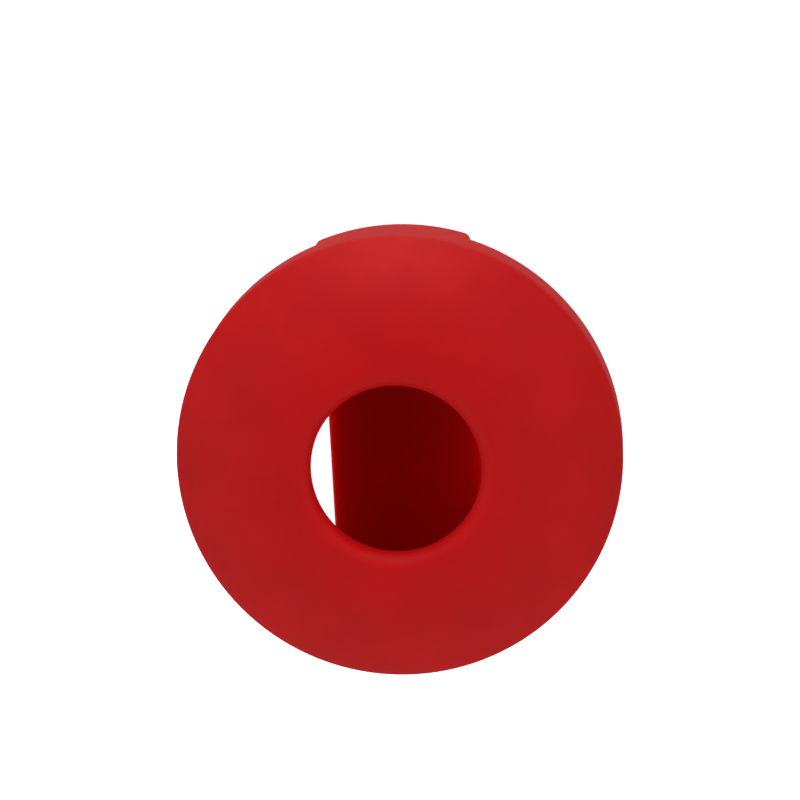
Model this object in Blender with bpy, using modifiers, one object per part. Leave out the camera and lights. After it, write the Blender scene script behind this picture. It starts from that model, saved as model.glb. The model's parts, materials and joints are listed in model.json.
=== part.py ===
"""Case opening friction ball: a soft hollow dome with a round mouth, on a hoop with a finger strap.

Metres, +Z up along the dome's axis. The ball rests on the flat back of its strap at z = 0, with the
mouth on top. The strap runs along Y and the loop under the hoop is open along X. Every piece is soft
moulded rubber, and neighbours keep a small gap where the real ones are bonded.
"""

from math import cos, pi, radians, sin

import bmesh
import bpy

COLLECTION = "case_opening_friction_ball"
CUTTER_COLLECTION = "cutters"

# Driving dimensions.
GAP = 0.0003
OUTER_R = 0.0350
MOUTH_R = 0.0132
HOOP_WALL = 0.0034
DOME_WALL = 0.0034
HOOP_REAR_Z = 0.0095
HOOP_REAR_ROUND = 0.0013
CREASE_Z = 0.0189
CREASE_ROUND = 0.0024

# Slope of the dome's face: almost flat beside the mouth, steep where it meets the side wall.
SLOPE_AT_LIP = radians(3)
SLOPE_AT_CREASE = radians(54)

# The lip: a thick ring with a full round where the mouth opens.
LIP_ROUND = 0.0022
LIP_BACK_ROUND = 0.0009
LIP_DEPTH = 0.0046
LIP_OUTER_R = 0.0176

# The dome's spigot sits inside the hoop.
SPIGOT_THICKNESS = 0.0020
SPIGOT_BOTTOM_Z = 0.0163

# The finger strap: a band that turns in under the hoop at both ends.
STRAP_WIDTH = 0.0245
STRAP_THICKNESS = 0.0025
STRAP_BEND_R = 0.0060
STRAP_SPAN_R = 0.0240
TONGUE_THICKNESS = 0.0024
TONGUE_TOP_Z = 0.0158

# Facets of the turned pieces.
TURN_STEPS = 72
ARC_STEPS = 5
CORNER_STEPS = 3
FACE_STEPS = 9
SMOOTH_ANGLE = radians(35)
MERGE_DISTANCE = 0.00001

# Soft red rubber (linear colour) of the grip face and lip, and of the firmer hoop and strap.
FACE_RED = (0.45, 0.011, 0.012, 1.0)
FRAME_RED = (0.42, 0.010, 0.011, 1.0)
FACE_ROUGHNESS = 0.55
FRAME_ROUGHNESS = 0.50

# Worked out from the above.
FACE_START_R = MOUTH_R + LIP_ROUND
FACE_END_R = OUTER_R - CREASE_ROUND * (1 - sin(SLOPE_AT_CREASE))
FACE_END_Z = CREASE_Z + CREASE_ROUND * cos(SLOPE_AT_CREASE)
FACE_RADIUS = (FACE_END_R - FACE_START_R) / (sin(SLOPE_AT_CREASE) - sin(SLOPE_AT_LIP))
FACE_CENTRE_R = FACE_START_R - FACE_RADIUS * sin(SLOPE_AT_LIP)
FACE_CENTRE_Z = FACE_END_Z - FACE_RADIUS * cos(SLOPE_AT_CREASE)
MOUTH_Z = FACE_CENTRE_Z + FACE_RADIUS * cos(SLOPE_AT_LIP)
HOOP_INNER_R = OUTER_R - HOOP_WALL
SPIGOT_OUTER_R = HOOP_INNER_R - GAP
SPIGOT_INNER_R = SPIGOT_OUTER_R - SPIGOT_THICKNESS


def arc(centre, radius, start, end, steps=ARC_STEPS):
    """Points (r, z) on a circle; the angle is counted from +Z towards +R."""
    points = []
    for i in range(steps + 1):
        angle = start + (end - start) * i / steps
        points.append((centre[0] + radius * sin(angle), centre[1] + radius * cos(angle)))
    return points


def face_arc(radius, start_r, end_r):
    """Points of the dome's face circle at this radius, from start_r out to end_r."""
    points = []
    for i in range(FACE_STEPS + 1):
        r = start_r + (end_r - start_r) * i / FACE_STEPS
        height = (radius**2 - (r - FACE_CENTRE_R) ** 2) ** 0.5
        points.append((r, FACE_CENTRE_Z + height))
    return points


def face_z(r):
    """Height of the dome's outer face at a radius."""
    return FACE_CENTRE_Z + (FACE_RADIUS**2 - (r - FACE_CENTRE_R) ** 2) ** 0.5


def collection(name):
    """The collection of this name, made on first use."""
    found = bpy.data.collections.get(name)
    if found is None:
        found = bpy.data.collections.new(name)
        bpy.context.scene.collection.children.link(found)
    return found


def rubber(name, colour, roughness):
    """A plain rubber material."""
    material = bpy.data.materials.new(name)
    material.use_nodes = True
    shader = material.node_tree.nodes["Principled BSDF"]
    shader.inputs["Base Color"].default_value = colour
    shader.inputs["Roughness"].default_value = roughness
    shader.inputs["Metallic"].default_value = 0.0
    return material


def turned(name, profile, collection_name=COLLECTION):
    """A ring turned about Z from a closed profile that runs down its outer side."""
    mesh = bpy.data.meshes.new(name)
    built = bmesh.new()
    verts = [built.verts.new((r, 0.0, z)) for r, z in profile]
    for i, vert in enumerate(verts):
        built.edges.new((vert, verts[(i + 1) % len(verts)]))
    built.to_mesh(mesh)
    built.free()
    piece = bpy.data.objects.new(name, mesh)
    collection(collection_name).objects.link(piece)
    screw = piece.modifiers.new("Turn", "SCREW")
    screw.steps = TURN_STEPS
    screw.render_steps = TURN_STEPS
    screw.use_merge_vertices = True
    screw.merge_threshold = MERGE_DISTANCE
    screw.use_smooth_shade = True
    return piece


def keep_inside(piece, low, high):
    """Keep the part of a piece that lies inside a box."""
    bpy.ops.mesh.primitive_cube_add(size=1, location=[(a + b) / 2 for a, b in zip(low, high)])
    cutter = bpy.context.object
    cutter.name = piece.name + "_slab"
    cutter.scale = [b - a for a, b in zip(low, high)]
    cutter.hide_render = True
    cutter.display_type = "WIRE"
    for user in cutter.users_collection:
        user.objects.unlink(cutter)
    collection(CUTTER_COLLECTION).objects.link(cutter)
    cut = piece.modifiers.new("Cut to width", "BOOLEAN")
    cut.operation = "INTERSECT"
    cut.object = cutter


def make_mouth_lip(material):
    """The thick round ring around the mouth, which meets the watch case first."""
    back_z = MOUTH_Z - LIP_DEPTH
    profile = arc((FACE_START_R, MOUTH_Z - LIP_ROUND), LIP_ROUND, -pi / 2, 0)
    profile += [(LIP_OUTER_R, face_z(LIP_OUTER_R)), (LIP_OUTER_R, back_z)]
    corner = (MOUTH_R + LIP_BACK_ROUND, back_z + LIP_BACK_ROUND)
    profile += arc(corner, LIP_BACK_ROUND, -pi, -pi / 2, CORNER_STEPS)
    lip = turned("mouth_lip", profile)
    lip.data.materials.append(material)
    return lip


def make_dome_wall(material):
    """The soft domed face, with a rim on the hoop and a spigot inside it."""
    start_r = LIP_OUTER_R + GAP
    profile = face_arc(FACE_RADIUS, start_r, FACE_END_R)
    crease_centre = (OUTER_R - CREASE_ROUND, CREASE_Z)
    profile += arc(crease_centre, CREASE_ROUND, SLOPE_AT_CREASE, pi / 2, CORNER_STEPS)[1:]
    profile += [(SPIGOT_OUTER_R, CREASE_Z)]
    profile += [(SPIGOT_OUTER_R, SPIGOT_BOTTOM_Z), (SPIGOT_INNER_R, SPIGOT_BOTTOM_Z)]
    profile += face_arc(FACE_RADIUS - DOME_WALL, start_r, SPIGOT_INNER_R)[::-1]
    dome = turned("dome_wall", profile)
    dome.data.materials.append(material)
    return dome


def make_side_hoop(material):
    """The side wall: the ring that carries the dome and both ends of the strap."""
    top_z = CREASE_Z - GAP
    round_r = HOOP_REAR_ROUND
    profile = [(HOOP_INNER_R, top_z), (OUTER_R, top_z)]
    profile += arc((OUTER_R - round_r, HOOP_REAR_Z + round_r), round_r, pi / 2, pi)
    profile += arc((HOOP_INNER_R + round_r, HOOP_REAR_Z + round_r), round_r, pi, 3 * pi / 2)
    hoop = turned("side_hoop", profile)
    hoop.data.materials.append(material)
    return hoop


def make_strap_leg(name, side, material):
    """One end of the strap: a tongue inside the hoop, a step under its rear edge, and the bend."""
    step_top_z = HOOP_REAR_Z - GAP
    step_bottom_z = step_top_z - STRAP_THICKNESS
    tongue_inner_r = SPIGOT_OUTER_R - TONGUE_THICKNESS
    bend_centre = (OUTER_R - STRAP_BEND_R, STRAP_BEND_R)
    profile = [(tongue_inner_r, TONGUE_TOP_Z), (SPIGOT_OUTER_R, TONGUE_TOP_Z)]
    profile += [(SPIGOT_OUTER_R, step_top_z), (OUTER_R, step_top_z)]
    profile += arc(bend_centre, STRAP_BEND_R, pi / 2, pi)
    profile += [(STRAP_SPAN_R + GAP, 0.0), (STRAP_SPAN_R + GAP, STRAP_THICKNESS)]
    profile += arc(bend_centre, STRAP_BEND_R - STRAP_THICKNESS, pi, pi / 2)
    profile += [(OUTER_R - STRAP_THICKNESS, step_bottom_z), (tongue_inner_r, step_bottom_z)]
    leg = turned(name, profile)
    beyond = side * 2 * OUTER_R
    low = (-STRAP_WIDTH / 2, min(0.0, beyond), -OUTER_R)
    high = (STRAP_WIDTH / 2, max(0.0, beyond), OUTER_R)
    keep_inside(leg, low, high)
    leg.data.materials.append(material)
    return leg


def make_strap_span(material):
    """The flat middle of the strap, which lifts off the hoop as fingers go under it."""
    bpy.ops.mesh.primitive_cylinder_add(
        vertices=TURN_STEPS, radius=STRAP_SPAN_R, depth=STRAP_THICKNESS
    )
    span = bpy.context.object
    span.name = "strap_span"
    span.data.name = "strap_span"
    span.location.z = STRAP_THICKNESS / 2
    for user in span.users_collection:
        user.objects.unlink(span)
    collection(COLLECTION).objects.link(span)
    half = (STRAP_WIDTH / 2, 2 * OUTER_R, OUTER_R)
    keep_inside(span, [-value for value in half], half)
    span.data.shade_smooth()
    span.data.set_sharp_from_angle(angle=SMOOTH_ANGLE)
    span.data.materials.append(material)
    return span


def main():
    for old in list(bpy.data.objects):
        bpy.data.objects.remove(old, do_unlink=True)
    face = rubber("grip_rubber", FACE_RED, FACE_ROUGHNESS)
    frame = rubber("frame_rubber", FRAME_RED, FRAME_ROUGHNESS)
    make_mouth_lip(face)
    make_dome_wall(face)
    make_side_hoop(frame)
    make_strap_leg("strap_upper_leg", 1, frame)
    make_strap_leg("strap_lower_leg", -1, frame)
    make_strap_span(frame)


main()
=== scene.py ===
import json
from math import asin, cos, pi, radians, sin, sqrt

import bmesh
import bpy
from mathutils import Matrix, Vector


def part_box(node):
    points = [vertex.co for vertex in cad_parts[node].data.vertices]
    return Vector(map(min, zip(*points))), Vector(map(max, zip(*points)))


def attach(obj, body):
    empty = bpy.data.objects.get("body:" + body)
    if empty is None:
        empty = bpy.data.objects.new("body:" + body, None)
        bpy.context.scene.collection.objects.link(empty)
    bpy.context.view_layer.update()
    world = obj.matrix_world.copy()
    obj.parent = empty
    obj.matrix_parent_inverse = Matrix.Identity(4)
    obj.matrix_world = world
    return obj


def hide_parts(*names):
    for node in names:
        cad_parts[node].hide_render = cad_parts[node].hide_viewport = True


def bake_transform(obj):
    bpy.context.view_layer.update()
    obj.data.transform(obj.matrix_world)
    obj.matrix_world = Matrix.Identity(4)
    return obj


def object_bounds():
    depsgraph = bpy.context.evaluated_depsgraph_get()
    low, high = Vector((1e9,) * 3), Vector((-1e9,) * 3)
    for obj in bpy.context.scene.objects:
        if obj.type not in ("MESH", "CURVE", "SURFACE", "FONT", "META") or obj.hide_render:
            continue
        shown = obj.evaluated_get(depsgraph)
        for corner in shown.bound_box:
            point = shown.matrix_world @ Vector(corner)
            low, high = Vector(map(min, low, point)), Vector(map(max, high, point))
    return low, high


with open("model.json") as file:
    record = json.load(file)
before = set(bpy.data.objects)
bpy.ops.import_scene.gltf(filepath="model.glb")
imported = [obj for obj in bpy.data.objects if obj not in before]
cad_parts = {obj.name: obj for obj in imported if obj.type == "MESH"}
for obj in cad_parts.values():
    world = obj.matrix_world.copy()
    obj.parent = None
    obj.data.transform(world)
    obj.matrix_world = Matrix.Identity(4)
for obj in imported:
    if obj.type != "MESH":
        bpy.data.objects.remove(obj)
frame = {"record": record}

CAD_BOX = [list(corner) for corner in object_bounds()]
MM = 0.001

# The frame: what the CAD boxes say about the hoop, the lip, the spigot, the strap and its legs.
HOOP_LOW, HOOP_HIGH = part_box("side_hoop")
LIP_LOW, LIP_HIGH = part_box("mouth_lip")
SPAN_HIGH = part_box("strap_span")[1]

OUTER_R = HOOP_HIGH[0]
HOOP_REAR_Z = HOOP_LOW[2]
HOOP_TOP_Z = HOOP_HIGH[2]
MOUTH_Z = LIP_HIGH[2]
LIP_BACK_Z = LIP_LOW[2]
SPIGOT_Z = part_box("dome_wall")[0][2]
STRAP_HALF_WIDTH = SPAN_HIGH[0]
STRAP_FLAT_Y = SPAN_HIGH[1]
STRAP_THICKNESS = SPAN_HIGH[2]
TONGUE_TOP_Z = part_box("strap_upper_leg")[1][2]

# The strap's travel below its place at rest: the floor lies under that reach.
JOINTS = {joint["name"]: joint for joint in frame["record"]["behaviour"]["joints"]}
FLOOR_Z = CAD_BOX[0][2] - JOINTS["strap_lift"]["range_m"][1]

# The face, in the same terms as the CAD: the lip's two rounds, the wall, the crease, the slopes.
MOUTH_R = 13.2 * MM
LIP_ROUND = 2.2 * MM
LIP_BACK_ROUND = 0.8 * MM
DOME_WALL = 3.4 * MM
CREASE_ROUND = 2.4 * MM
CREASE_Z = HOOP_TOP_Z + 0.3 * MM
SLOPE_AT_LIP = radians(3)
SLOPE_AT_CREASE = radians(54)

# Behind the lip: the level land, the corner where it turns up, and the run to the dome's wall.
LIP_LAND = 1.2 * MM
CORNER_RUN = 0.8 * MM
CORNER_RISE = 0.25 * MM
NECK_RUN = 2.6 * MM

# The side wall, the spigot inside it, the hairline where they meet and the rounding of its edges.
HOOP_WALL = 3.4 * MM
HOOP_REAR_ROUND = 1.3 * MM
SPIGOT_THICKNESS = 2.0 * MM
HAIRLINE = 0.02 * MM
EDGE_BREAK = 0.12 * MM
SPIGOT_EDGE_R = 3 * EDGE_BREAK

# The strap: its bends, its rounded edges, the crown of its inner face with its depth at the sides,
# and its tongues.
STRAP_BEND_R = 6.0 * MM
STRAP_EDGE_R = 0.75 * MM
STRAP_INNER_EDGE = 2.2 * MM
STRAP_CROWN = 0.9 * MM
STRAP_SHOULDER = STRAP_THICKNESS - STRAP_CROWN
TONGUE_THICKNESS = 2.4 * MM
TONGUE_EDGE_R = 0.8 * MM
TONGUE_SIDE_R = TONGUE_EDGE_R / 2

# How far touching pieces reach into each other, and how the strap's ends dip under the hoop's skin.
TUCK = 0.25 * MM
DIP_DEPTH = 0.5 * MM
DIP_HEIGHT = 1.0 * MM

# How finely curves are cut: steps round the axis, along each arc, and along the strap.
TURN_STEPS = 288
LIP_STEPS = 14
DOME_STEPS = 60
DOME_INSIDE_STEPS = 48
CREASE_STEPS = 12
BREAK_STEPS = 4
HOOP_REAR_STEPS = 10
EDGE_STEPS = 8
INNER_EDGE_STEPS = 16
FLAT_STEPS = 24
TONGUE_STEPS = 48
DIP_STEPS = 4
LEG_STEPS = 16
BEND_STEPS = 24
SPAN_STEPS = 30
LONGEST_EDGE = 0.9 * MM


# ---------------------------------------------------------------- shapes

def arc(centre, radius, start, end, steps):
    """Points (r, z) on a circle; the angle is counted from +Z towards +R."""
    points = []
    for i in range(steps + 1):
        angle = start + (end - start) * i / steps
        points.append((centre[0] + radius * sin(angle), centre[1] + radius * cos(angle)))
    return points


def stepped(points):
    """A closed outline with its long stretches split, so that a bent mesh stays smooth."""
    too_short = 0.0001 * MM
    result = []
    for i, (r0, z0) in enumerate(points):
        r1, z1 = points[(i + 1) % len(points)]
        length = sqrt((r1 - r0) ** 2 + (z1 - z0) ** 2)
        if length < too_short:
            continue
        parts = max(1, round(length / LONGEST_EDGE))
        for k in range(parts):
            result.append((r0 + (r1 - r0) * k / parts, z0 + (z1 - z0) * k / parts))
    return result


def skin(built, rings):
    """Quads from each ring of vertices to the next one, in order round the rings."""
    faces = []
    for ring, following in zip(rings, rings[1:]):
        for k in range(len(ring)):
            n = (k + 1) % len(ring)
            faces.append(built.faces.new((ring[k], ring[n], following[n], following[k])))
    return faces


def cap_ends(built, rings):
    """Close a skinned band at its first and last ring."""
    built.faces.new(rings[0])
    built.faces.new(rings[-1][::-1])


def mesh_object(name, built):
    """An object from a bmesh, smooth shaded, at the origin."""
    bmesh.ops.recalc_face_normals(built, faces=built.faces)
    mesh = bpy.data.meshes.new(name)
    built.to_mesh(mesh)
    built.free()
    mesh.shade_smooth()
    piece = bpy.data.objects.new(name, mesh)
    bpy.context.scene.collection.objects.link(piece)
    return piece


def turned(name, profile):
    """A closed ring turned about Z from a closed profile of (r, z)."""
    built = bmesh.new()
    rings = []
    for i in range(TURN_STEPS):
        angle = 2 * pi * i / TURN_STEPS
        rings.append([built.verts.new((r * cos(angle), r * sin(angle), z)) for r, z in profile])
    skin(built, rings + rings[:1])
    return mesh_object(name, built)


def face_circle():
    """Centre and radius of the arc that the dome's face follows in section."""
    start_r = MOUTH_R + LIP_ROUND
    end_r = OUTER_R - CREASE_ROUND * (1 - sin(SLOPE_AT_CREASE))
    end_z = CREASE_Z + CREASE_ROUND * cos(SLOPE_AT_CREASE)
    radius = (end_r - start_r) / (sin(SLOPE_AT_CREASE) - sin(SLOPE_AT_LIP))
    centre = (start_r - radius * sin(SLOPE_AT_LIP), end_z - radius * cos(SLOPE_AT_CREASE))
    return centre, radius


def face_outside(centre, radius):
    """The face's outer outline, from the mouth over the dome and the crease to the rim."""
    rim_z = HOOP_TOP_Z + HAIRLINE
    lip = (MOUTH_R + LIP_ROUND, MOUTH_Z - LIP_ROUND)
    crease = (OUTER_R - CREASE_ROUND, CREASE_Z)
    rim = (OUTER_R - EDGE_BREAK, rim_z + EDGE_BREAK)
    outline = arc(lip, LIP_ROUND, -pi / 2, SLOPE_AT_LIP, LIP_STEPS)
    outline += arc(centre, radius, SLOPE_AT_LIP, SLOPE_AT_CREASE, DOME_STEPS)[1:]
    outline += arc(crease, CREASE_ROUND, SLOPE_AT_CREASE, pi / 2, CREASE_STEPS)[1:]
    outline += arc(rim, EDGE_BREAK, pi / 2, pi, BREAK_STEPS)
    return outline + [(OUTER_R - HOOP_WALL - HAIRLINE, rim_z)]


def face_inside(centre, radius):
    """The face's inner outline, from the spigot under the dome's wall to the back of the lip."""
    spigot_outer = OUTER_R - HOOP_WALL - HAIRLINE
    spigot_inner = spigot_outer - SPIGOT_THICKNESS
    edge = SPIGOT_EDGE_R
    foot_z = SPIGOT_Z + edge
    outline = arc((spigot_outer - edge, foot_z), edge, pi / 2, pi, BREAK_STEPS)
    outline += arc((spigot_inner + edge, foot_z), edge, pi, 3 * pi / 2, BREAK_STEPS)
    inner = radius - DOME_WALL
    land_r = MOUTH_R + LIP_BACK_ROUND + LIP_LAND
    wall_start = asin((spigot_inner - centre[0]) / inner)
    wall_end = asin((land_r + NECK_RUN - centre[0]) / inner)
    outline += arc(centre, inner, wall_start, wall_end, DOME_INSIDE_STEPS)
    # The wall thickens into the lip: its back face is level, then rounds into the mouth.
    outline += [(land_r + CORNER_RUN, LIP_BACK_Z + CORNER_RISE), (land_r, LIP_BACK_Z)]
    back = (MOUTH_R + LIP_BACK_ROUND, LIP_BACK_Z + LIP_BACK_ROUND)
    return outline + arc(back, LIP_BACK_ROUND, pi, 3 * pi / 2, EDGE_STEPS)


def make_face():
    """The soft face: dome, lip and spigot as the one moulding they are."""
    centre, radius = face_circle()
    return turned("grip_face", stepped(face_outside(centre, radius) + face_inside(centre, radius)))


def make_hoop():
    """The side wall, with a rounded rear edge and a hairline under the face's rim."""
    inner_r = OUTER_R - HOOP_WALL
    edge = EDGE_BREAK
    profile = arc((inner_r + edge, HOOP_TOP_Z - edge), edge, -pi / 2, 0, BREAK_STEPS)
    profile += arc((OUTER_R - edge, HOOP_TOP_Z - edge), edge, 0, pi / 2, BREAK_STEPS)
    rear = HOOP_REAR_ROUND
    rear_z = HOOP_REAR_Z + rear
    profile += arc((OUTER_R - rear, rear_z), rear, pi / 2, pi, HOOP_REAR_STEPS)
    profile += arc((inner_r + rear, rear_z), rear, pi, 3 * pi / 2, HOOP_REAR_STEPS)
    return turned("side_wall", stepped(profile))


def crowned(x, depth):
    """A depth in the strap's section with its share of the crown, which is fullest midway across."""
    return depth * (1 + STRAP_CROWN * (1 - (x / STRAP_HALF_WIDTH) ** 2) / STRAP_SHOULDER)


def strap_depth(x):
    """How deep the strap's inner face lies at x, counted from its outer face."""
    past_flat = max(0.0, abs(x) - STRAP_HALF_WIDTH + STRAP_INNER_EDGE) / STRAP_INNER_EDGE
    return crowned(x, STRAP_EDGE_R + (STRAP_SHOULDER - STRAP_EDGE_R) * sqrt(1 - past_flat**2))


def strap_section():
    """The strap's section as (x, depth) points; depth runs from the outer face inwards.

    The outer corners are round. The inner face is crowned, and falls away to both sides.
    """
    corner_x = STRAP_HALF_WIDTH - STRAP_EDGE_R
    edge_x = STRAP_HALF_WIDTH - STRAP_INNER_EDGE
    side = []
    for k in range(EDGE_STEPS + 1):
        angle = -pi / 2 + pi / 2 * k / EDGE_STEPS
        x = corner_x + STRAP_EDGE_R * cos(angle)
        side.append((x, crowned(x, STRAP_EDGE_R * (1 + sin(angle)))))
    for k in range(1, INNER_EDGE_STEPS + 1):
        x = edge_x + STRAP_INNER_EDGE * cos(pi / 2 * k / INNER_EDGE_STEPS)
        side.append((x, strap_depth(x)))
    inner = []
    back = []
    for k in range(1, FLAT_STEPS):
        across = 1 - 2 * k / FLAT_STEPS
        inner.append((edge_x * across, strap_depth(edge_x * across)))
        back.append((-corner_x * across, 0.0))
    mirrored = [(-x, depth) for x, depth in side[::-1]]
    return side + inner + mirrored + back


def strap_path():
    """The strap's outer face in section as (y, z, inward normal y, z), from +Y round to -Y."""
    bend_y = OUTER_R - STRAP_BEND_R
    root_z = HOOP_REAR_Z + HOOP_REAR_ROUND
    half = []
    for i in range(DIP_STEPS + 1):
        # The end dips under the hoop's skin, out of sight.
        left = 1 - i / DIP_STEPS
        half.append((OUTER_R - DIP_DEPTH * left**2, root_z + DIP_HEIGHT * left, -1.0, 0.0))
    for i in range(1, LEG_STEPS + 1):
        z = root_z + (STRAP_BEND_R - root_z) * i / LEG_STEPS
        half.append((OUTER_R, z, -1.0, 0.0))
    for i in range(1, BEND_STEPS + 1):
        angle = pi / 2 + pi / 2 * i / BEND_STEPS
        y = bend_y + STRAP_BEND_R * sin(angle)
        z = STRAP_BEND_R + STRAP_BEND_R * cos(angle)
        half.append((y, z, -sin(angle), -cos(angle)))
    for i in range(1, SPAN_STEPS + 1):
        half.append((bend_y * (1 - i / SPAN_STEPS), 0.0, 0.0, 1.0))
    return half + [(-y, z, -ny, nz) for y, z, ny, nz in half[-2::-1]]


def follow_round(x, y):
    """Carry a strap point back so that the strap's ends follow the round side wall."""
    if abs(y) >= STRAP_FLAT_Y:
        return sqrt(y * y - x * x) * (1 if y > 0 else -1)
    return y * sqrt(STRAP_FLAT_Y**2 - x * x) / STRAP_FLAT_Y


def make_strap():
    """The finger strap, one band from the hoop's rear edge, round the back and up again."""
    section = strap_section()
    built = bmesh.new()
    rings = []
    for y, z, ny, nz in strap_path():
        ring = []
        for x, depth in section:
            ring.append(built.verts.new((x, follow_round(x, y + ny * depth), z + nz * depth)))
        rings.append(ring)
    # The faces that look into the loop get the strap's second material, darker and less glossy:
    # painted shade for the hollow.
    depths = [depth for x, depth in section]
    for i, face in enumerate(skin(built, rings)):
        k = i % len(section)
        face.material_index = int(min(depths[k], depths[(k + 1) % len(section)]) > STRAP_THICKNESS / 2)
    cap_ends(built, rings)
    return mesh_object("finger_strap", built)


def tongue_profile():
    """The tongue in section: a pad inside the side wall that turns out under it, in a fillet."""
    outer_r = OUTER_R - HOOP_WALL + TUCK
    inner_r = OUTER_R - HOOP_WALL - TONGUE_THICKNESS
    buried_r = OUTER_R - STRAP_THICKNESS / 2
    under_z = HOOP_REAR_Z + TUCK
    foot_z = STRAP_BEND_R + TUCK
    fillet = OUTER_R - STRAP_THICKNESS - inner_r
    edge = TONGUE_EDGE_R
    top_z = TONGUE_TOP_Z - edge
    profile = arc((inner_r + edge, top_z), edge, -pi / 2, 0, EDGE_STEPS)
    profile += arc((outer_r - edge, top_z), edge, 0, pi / 2, EDGE_STEPS)
    profile += [(outer_r, under_z), (buried_r, under_z), (buried_r, foot_z)]
    profile += arc((inner_r, foot_z), fillet, pi / 2, 0, INNER_EDGE_STEPS)
    return stepped(profile)


def settled_r(r, z, x):
    """A tongue point's radius at x: below the side wall the fillet reaches out to the strap."""
    if z > HOOP_REAR_Z + TUCK:
        return r
    depth = OUTER_R - r
    pad_depth = HOOP_WALL + TONGUE_THICKNESS
    strap = strap_depth(x)
    if depth <= STRAP_THICKNESS:
        return OUTER_R - depth * strap / STRAP_THICKNESS
    share = (depth - STRAP_THICKNESS) / (pad_depth - STRAP_THICKNESS)
    return OUTER_R - strap - share * (pad_depth - strap)


def make_tongue(name, side):
    """The strap's bonded end inside the side wall, as wide as the strap, with rounded sides."""
    profile = tongue_profile()
    half = STRAP_HALF_WIDTH - TUCK
    built = bmesh.new()
    rings = []
    for i in range(TONGUE_STEPS + 1):
        x = half * (2 * i / TONGUE_STEPS - 1)
        column = [(settled_r(r, z, x), z) for r, z in profile]
        rings.append([built.verts.new((x, side * sqrt(r * r - x * x), z)) for r, z in column])
    skin(built, rings)
    cap_ends(built, rings)
    tongue = mesh_object(name, built)
    edges = tongue.modifiers.new("Rounded sides", "BEVEL")
    edges.width = TONGUE_SIDE_R
    edges.segments = 4
    edges.limit_method = "ANGLE"
    edges.angle_limit = radians(50)
    return tongue


# ---------------------------------------------------------------- materials

# Solid red silicone: colour, roughness and specular level. The second set, for the strap's inner face,
# is darker and less glossy: painted shade for the hollow under the dome.
RUBBER = ((0.46, 0.0015, 0.0020), 0.55, 0.18)
INSIDE_RUBBER_PAINTED_SHADE = ((0.37, 0.0012, 0.0015), 0.65, 0.05)
RUBBER_IOR = 1.41

# Red light travels a little way through the rubber, so that thin edges glow.
TRANSLUCENCY = 0.35
GLOW_DEPTH = 2.5 * MM
GLOW_REACH = (1.0, 0.06, 0.06)

# Noise scales per metre: slow colour drift, patches of polish, fine moulded grain, slight waves.
DRIFT_SCALE = 70.0
POLISH_SCALE = 240.0
GRAIN_SCALE = 5200.0
WAVE_SCALE = 420.0
GRAIN_HEIGHT = 0.03 * MM
WAVE_HEIGHT = 0.12 * MM

# How much the drift darkens and brightens the colour, and how far polish moves the roughness.
DARKER = 0.93
BRIGHTER = 1.06
SMOOTHER = -0.05
ROUGHER = 0.07


def node(tree, kind, **values):
    """A shader node with its inputs and properties set."""
    made = tree.nodes.new(kind)
    for key, value in values.items():
        if key in made.inputs:
            made.inputs[key].default_value = value
        else:
            setattr(made, key, value)
    return made


def noise(tree, place, scale, detail):
    """A noise value over the surface."""
    made = node(tree, "ShaderNodeTexNoise", Scale=scale, Detail=detail)
    tree.links.new(place, made.inputs["Vector"])
    return made.outputs["Fac"]


def add_drift(tree, shader, place, colour):
    """A slow drift in the colour."""
    shade = node(tree, "ShaderNodeValToRGB")
    low, high = shade.color_ramp.elements
    low.position = 0.3
    low.color = [c * DARKER for c in colour] + [1.0]
    high.position = 0.7
    high.color = [c * BRIGHTER for c in colour] + [1.0]
    tree.links.new(noise(tree, place, DRIFT_SCALE, detail=3.0), shade.inputs["Fac"])
    tree.links.new(shade.outputs["Color"], shader.inputs["Base Color"])


def add_polish(tree, shader, place, roughness):
    """Patches that are a little smoother or rougher."""
    rough = node(tree, "ShaderNodeMapRange")
    rough.inputs["To Min"].default_value = roughness + SMOOTHER
    rough.inputs["To Max"].default_value = roughness + ROUGHER
    tree.links.new(noise(tree, place, POLISH_SCALE, detail=4.0), rough.inputs["Value"])
    tree.links.new(rough.outputs["Result"], shader.inputs["Roughness"])


def add_grain(tree, shader, place):
    """Fine moulded grain over slight waves."""
    grain = node(tree, "ShaderNodeBump", Strength=0.12, Distance=GRAIN_HEIGHT)
    tree.links.new(noise(tree, place, GRAIN_SCALE, detail=2.0), grain.inputs["Height"])
    waves = node(tree, "ShaderNodeBump", Strength=0.10, Distance=WAVE_HEIGHT)
    tree.links.new(noise(tree, place, WAVE_SCALE, detail=2.0), waves.inputs["Height"])
    tree.links.new(grain.outputs["Normal"], waves.inputs["Normal"])
    tree.links.new(waves.outputs["Normal"], shader.inputs["Normal"])


def silicone(name, look):
    """Matte moulded silicone: slow colour drift, uneven polish, fine grain, a little translucent."""
    colour, roughness, gloss = look
    material = bpy.data.materials.new(name)
    material.use_nodes = True
    tree = material.node_tree
    shader = tree.nodes["Principled BSDF"]
    place = node(tree, "ShaderNodeTexCoord").outputs["Object"]
    add_drift(tree, shader, place, colour)
    add_polish(tree, shader, place, roughness)
    add_grain(tree, shader, place)
    shader.inputs["IOR"].default_value = RUBBER_IOR
    shader.inputs["Specular IOR Level"].default_value = gloss
    shader.inputs["Subsurface Weight"].default_value = TRANSLUCENCY
    shader.inputs["Subsurface Radius"].default_value = GLOW_REACH
    shader.inputs["Subsurface Scale"].default_value = GLOW_DEPTH
    return material


def plain_material(name, colour, roughness):
    """A flat colour with no gloss: the material and its shader."""
    material = bpy.data.materials.new(name)
    material.use_nodes = True
    shader = material.node_tree.nodes["Principled BSDF"]
    shader.inputs["Base Color"].default_value = (*colour, 1.0)
    shader.inputs["Roughness"].default_value = roughness
    shader.inputs["Specular IOR Level"].default_value = 0.0
    return material, shader


# ---------------------------------------------------------------- stage

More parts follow.
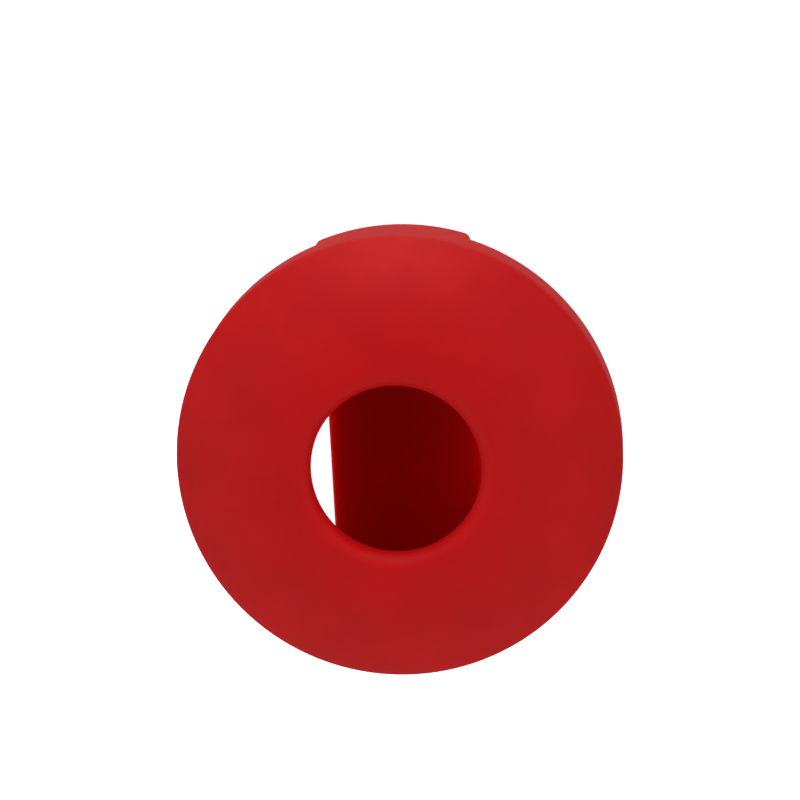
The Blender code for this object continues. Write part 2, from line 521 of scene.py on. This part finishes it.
# A white table and, between it and the ball, a dark card about as wide as the ball.
FLOOR_SIZE = 6.0
FLOOR_GAP = 0.5 * MM
TABLE_WHITE = (0.9, 0.9, 0.9)
FLAG_RADIUS = 34 * MM
FLAG_GAP = 0.2 * MM
CARD_DARK = (0.04, 0.02, 0.02)

# Soft lights: where each stands, how wide it is and its power in watts.
LIGHTS = {
    "low": ((0.0, 1.18, 0.27), 0.5, 4.3),
    "rim": ((0.0, 1.10, -0.45), 0.8, 2.5),
}

# Daylight that comes through the red rubber into the hollow: place, aim, height and power in watts.
GLOW_LENGTH = 26 * MM
GLOW_RED = (1.0, 0.02, 0.02)
GLOWS = {
    "glow_right": ((25.5 * MM, 0.0, 13.0 * MM), (0.0, 0.0, STRAP_THICKNESS), 10 * MM, 0.0019),
    "glow_left": ((-26.0 * MM, 0.0, 4.5 * MM), (0.0, 0.0, 4.0 * MM), 4 * MM, 0.0021),
}

# The room's brightness by the height of the direction, from straight down (-1) to straight up (1).
ROOM = [
    (-1.0, 0.46),
    (-0.5, 0.30),
    (-0.15, 0.48),
    (0.15, 1.01),
    (0.5, 1.16),
    (0.8, 0.95),
    (1.0, 0.40),
]
ROOM_SCALE = 2.0

# The camera: its distance, its lean away from the dome's axis, its roll, and its lens in millimetres.
CAMERA_DISTANCE = 0.560
LEAN_TO_Y = radians(11.31)
LEAN_TO_X = radians(3.94)
ROLL = radians(3.25)
LENS = 161.3

# The camera turns about a point just above the crease, and aims above it and to its right.
PIVOT_Z = CREASE_Z + 0.8 * MM
AIM_UP = 9.13 * MM
AIM_RIGHT = 0.17 * MM


def make_floor():
    """A plain white light table under the ball."""
    bpy.ops.mesh.primitive_plane_add(size=FLOOR_SIZE, location=(0, 0, FLOOR_Z - FLOOR_GAP))
    floor = bpy.context.object
    floor.name = "floor"
    material, shader = plain_material("white table", TABLE_WHITE, roughness=0.9)
    shader.inputs["Emission Color"].default_value = (1.0, 1.0, 1.0, 1.0)
    shader.inputs["Emission Strength"].default_value = 1.0
    floor.data.materials.append(material)
    # The table is seen, but it neither lights the ball nor shades it.
    floor.visible_diffuse = False
    floor.visible_glossy = False
    floor.visible_shadow = False


def make_flag():
    """A dark card under the ball, unseen, that keeps light from coming up into the hollow."""
    bpy.ops.mesh.primitive_circle_add(
        vertices=64, radius=FLAG_RADIUS, fill_type="NGON", location=(0, 0, FLOOR_Z - FLAG_GAP)
    )
    flag = bpy.context.object
    flag.name = "flag"
    flag.data.materials.append(plain_material("dark card", CARD_DARK, roughness=1.0)[0])
    flag.visible_camera = False


def area_light(name, place, target, size, power, colour=(1.0, 1.0, 1.0)):
    """A soft panel aimed at a point; its second side runs along Y where it can."""
    data = bpy.data.lights.new(name, "AREA")
    data.shape = "RECTANGLE"
    data.size, data.size_y = size
    data.energy = power
    data.color = colour
    light = bpy.data.objects.new(name, data)
    light.location = place
    away = (Vector(place) - Vector(target)).normalized()
    across = Vector((0, 1, 0)).cross(away).normalized()
    along = away.cross(across)
    light.rotation_euler = Matrix((across, along, away)).transposed().to_euler()
    bpy.context.scene.collection.objects.link(light)
    return light


def make_lights():
    """Soft lights on the +Y side, and the red glow in the hollow, which the camera does not see."""
    middle = (0, 0, MOUTH_Z / 2)
    for name, (place, size, power) in LIGHTS.items():
        area_light(name, place, middle, (size, size), power)
    for name, (place, target, height, power) in GLOWS.items():
        glow = area_light(name, place, target, (height, GLOW_LENGTH), power, GLOW_RED)
        glow.visible_camera = False


def make_room():
    """A bright, colourless room all round, dimmer overhead and below."""
    world = bpy.context.scene.world or bpy.data.worlds.new("room")
    bpy.context.scene.world = world
    world.use_nodes = True
    tree = world.node_tree
    background = tree.nodes["Background"]
    direction = node(tree, "ShaderNodeTexCoord").outputs["Generated"]
    split = node(tree, "ShaderNodeSeparateXYZ")
    tree.links.new(direction, split.inputs["Vector"])
    height = node(tree, "ShaderNodeMapRange")
    height.inputs["From Min"].default_value = -1.0
    tree.links.new(split.outputs["Z"], height.inputs["Value"])
    ramp = node(tree, "ShaderNodeValToRGB")
    stops = ramp.color_ramp.elements
    while len(stops) < len(ROOM):
        stops.new(1.0)
    for stop, (z, value) in zip(stops, ROOM):
        stop.position = (z + 1) / 2
        stop.color = [value / ROOM_SCALE] * 3 + [1.0]
    tree.links.new(height.outputs["Result"], ramp.inputs["Fac"])
    tree.links.new(ramp.outputs["Color"], background.inputs["Color"])
    background.inputs["Strength"].default_value = ROOM_SCALE


def make_camera():
    """Almost straight down the dome's axis, from a little towards +Y and +X, and rolled."""
    out = Vector((sin(LEAN_TO_X) * cos(LEAN_TO_Y), sin(LEAN_TO_Y), cos(LEAN_TO_X) * cos(LEAN_TO_Y)))
    level = Vector((0, 1, 0)).cross(out).normalized()
    upright = out.cross(level)
    right = cos(ROLL) * level - sin(ROLL) * upright
    up = cos(ROLL) * upright + sin(ROLL) * level
    pivot = Vector((0, 0, PIVOT_Z))
    place = pivot + CAMERA_DISTANCE * out
    aim = pivot + AIM_UP * up + AIM_RIGHT * right
    back = (place - aim).normalized()
    right = up.cross(back).normalized()
    up = back.cross(right)
    data = bpy.data.cameras.new("camera")
    data.sensor_width = 36.0
    data.lens = LENS
    data.clip_start = 0.01
    camera = bpy.data.objects.new("camera", data)
    rotation = Matrix((right, up, back)).transposed().to_4x4()
    camera.matrix_world = Matrix.Translation(place) @ rotation
    bpy.context.scene.collection.objects.link(camera)
    bpy.context.scene.camera = camera


def main():
    """Camera, light and stage, then each piece with its material; the side wall and the tongues also
    go on the hoop's body.
    """
    bpy.context.scene.view_settings.view_transform = "Standard"
    make_camera()
    make_lights()
    make_room()
    make_floor()
    make_flag()

    grip = silicone("grip silicone", RUBBER)
    firm = silicone("firm silicone", RUBBER)
    # Painted shade: the strap's inner face gets a darker, less glossy copy of the rubber.
    painted_shade_inside = silicone("inside silicone painted shade", INSIDE_RUBBER_PAINTED_SHADE)

    face = make_face()
    face.data.materials.append(grip)
    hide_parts("dome_wall", "mouth_lip")
    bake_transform(face)

    hoop = make_hoop()
    hoop.data.materials.append(firm)
    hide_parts("side_hoop")
    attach(hoop, "hoop")

    strap = make_strap()
    strap.data.materials.append(firm)
    strap.data.materials.append(painted_shade_inside)
    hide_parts("strap_upper_leg", "strap_lower_leg", "strap_span")
    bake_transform(strap)

    for name, side in (("upper_tongue", 1), ("lower_tongue", -1)):
        tongue = make_tongue(name, side)
        tongue.data.materials.append(firm)
        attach(tongue, "hoop")


main()
